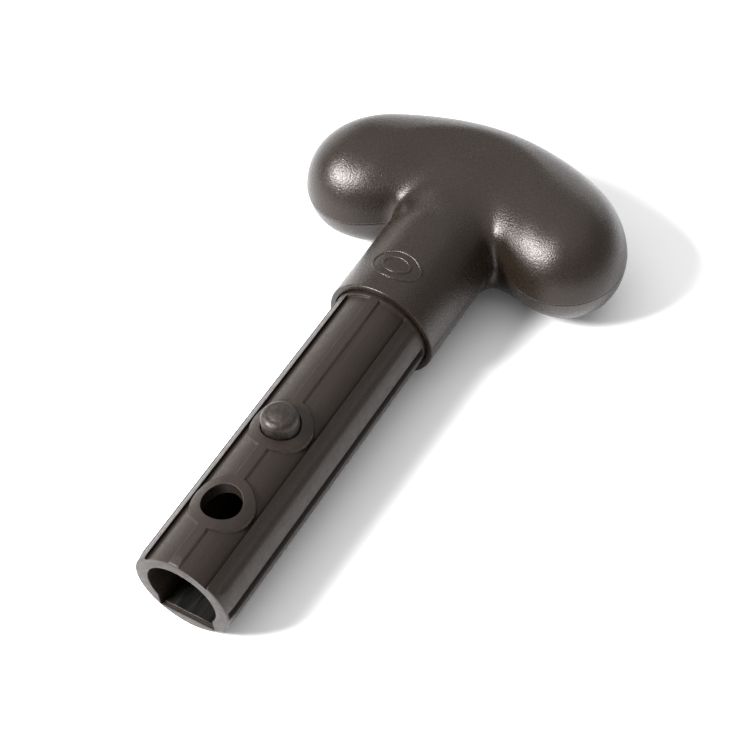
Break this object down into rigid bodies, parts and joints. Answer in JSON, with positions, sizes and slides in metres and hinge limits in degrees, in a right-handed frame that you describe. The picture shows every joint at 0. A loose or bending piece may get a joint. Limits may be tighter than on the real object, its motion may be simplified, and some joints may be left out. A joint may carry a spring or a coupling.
{
  "type": "t-grip handle",
  "caption": "T-shaped palm grip on a ribbed plug-in ferrule with a sprung snap button and a spare lock hole.",
  "frame": {"origin": "on the ferrule's axis, in the plane of the collar's end face, where the shaft's end comes to rest", "axes": "+Y along the ferrule's axis towards the grip, +X across the grip, +Z the side that the snap button stands on, which is up as the handle lies on a table"},
  "size_m": [0.0972, 0.1717, 0.0356],
  "materials": {
    "grip": "satin",
    "ferrule": "satin",
    "button": "satin",
    "spring_steel": "satin",
    "bung": "matte"
  },
  "bodies": {
    "root": {"grip_upper_shell": "grip", "grip_lower_shell": "grip", "ferrule": "ferrule", "cross_pin": "spring_steel", "ferrule_bung": "bung", "leaf_spring": "spring_steel"},
    "button": {"snap_button": "button", "button_rivet": "spring_steel"}
  },
  "joints": [
    {"name": "button_press", "type": "slide", "parent": "root", "child": "button", "axis": [0, 0, -1], "range_m": [0, 0.005], "stiffness_N_per_m": 1500, "springref_m": -0.003, "deforming": ["leaf_spring"]}
  ]
}
